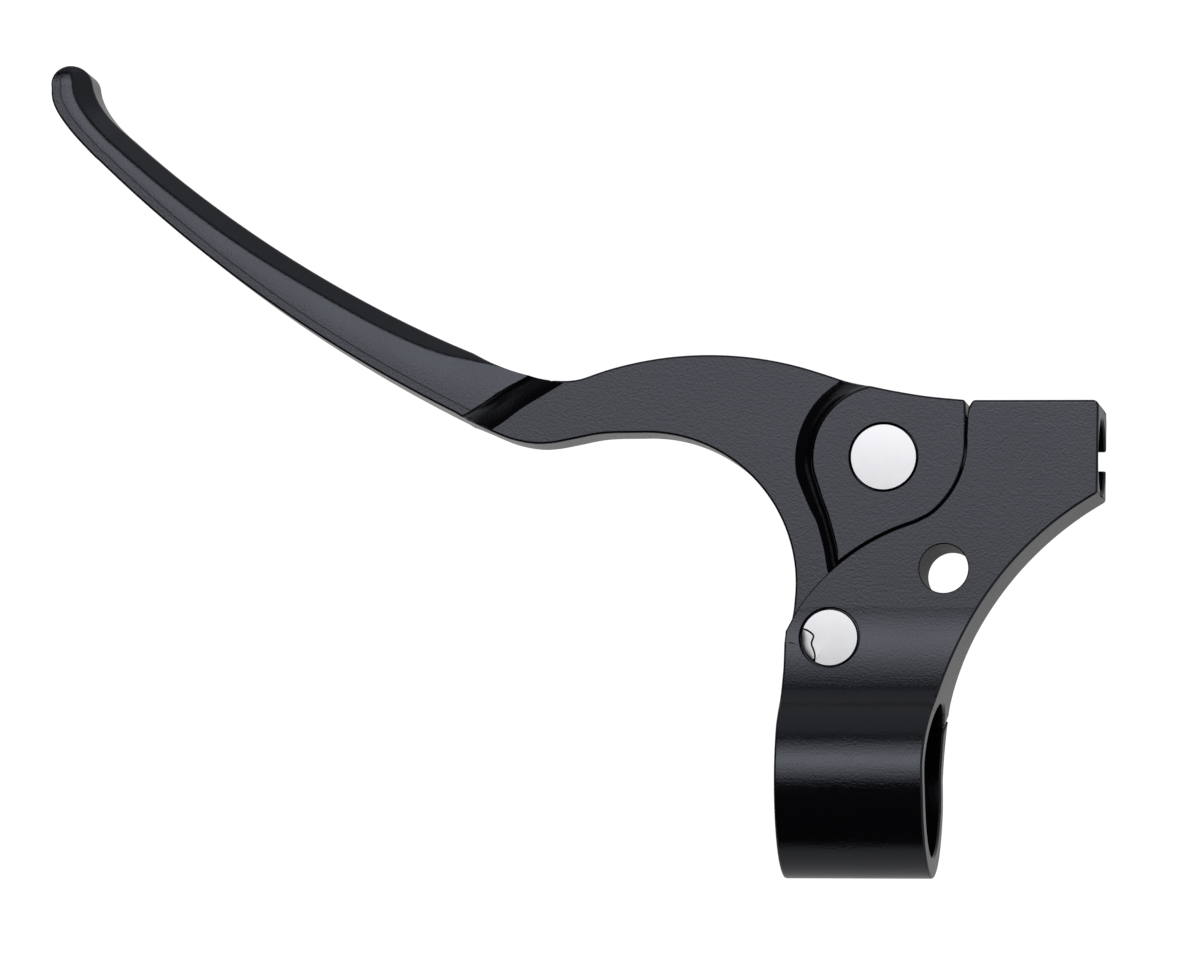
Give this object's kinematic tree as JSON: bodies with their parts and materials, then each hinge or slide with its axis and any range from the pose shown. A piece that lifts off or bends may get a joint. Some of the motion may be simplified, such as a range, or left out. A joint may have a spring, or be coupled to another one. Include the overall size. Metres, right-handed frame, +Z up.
{
  "type": "clutch lever",
  "caption": "Left-hand cable clutch lever with a curved blade, pivoting in a one-piece pinch-clamp perch that has a slotted cable boss and a mirror hole.",
  "frame": {"origin": "on the handlebar's centreline, in the middle of the clamp ring's width", "axes": "+X runs inboard along the handlebar's axis, +Y points away from the rider, +Z points up along the lever's pivot"},
  "size_m": [0.1771, 0.1355, 0.042],
  "materials": {
    "black_anodised": "satin black anodised, fine blasted grain",
    "polished_steel": "polished",
    "bearing_bronze": "machined bearing bronze",
    "spring_steel": "dark oiled spring steel",
    "zinc_plated_steel": "bright zinc plated"
  },
  "bodies": {
    "perch": {"perch": "black_anodised", "pivot_pin": "polished_steel", "pivot_retaining_ring": "spring_steel", "clamp_screw": "zinc_plated_steel", "clamp_washer": "zinc_plated_steel"},
    "lever": {"lever": "black_anodised", "pivot_bush": "bearing_bronze", "upper_thrust_washer": "bearing_bronze", "lower_thrust_washer": "bearing_bronze"},
    "anchor": {"anchor_pin": "polished_steel", "anchor_retaining_ring": "spring_steel"}
  },
  "joints": [
    {"name": "lever_pivot", "type": "hinge", "parent": "perch", "child": "lever", "pos_m": [-0.0044, 0.023, 0], "axis": [0, 0, 1], "range_deg": [0, 35]},
    {"name": "anchor_swivel", "type": "hinge", "parent": "lever", "child": "anchor", "pos_m": [0.0042, 0.053, 0], "axis": [0, 0, 1], "range_deg": [-35, 0]}
  ],
  "couplings": [
    {"joint": "anchor_swivel", "follows": "lever_pivot", "ratio": -1}
  ]
}
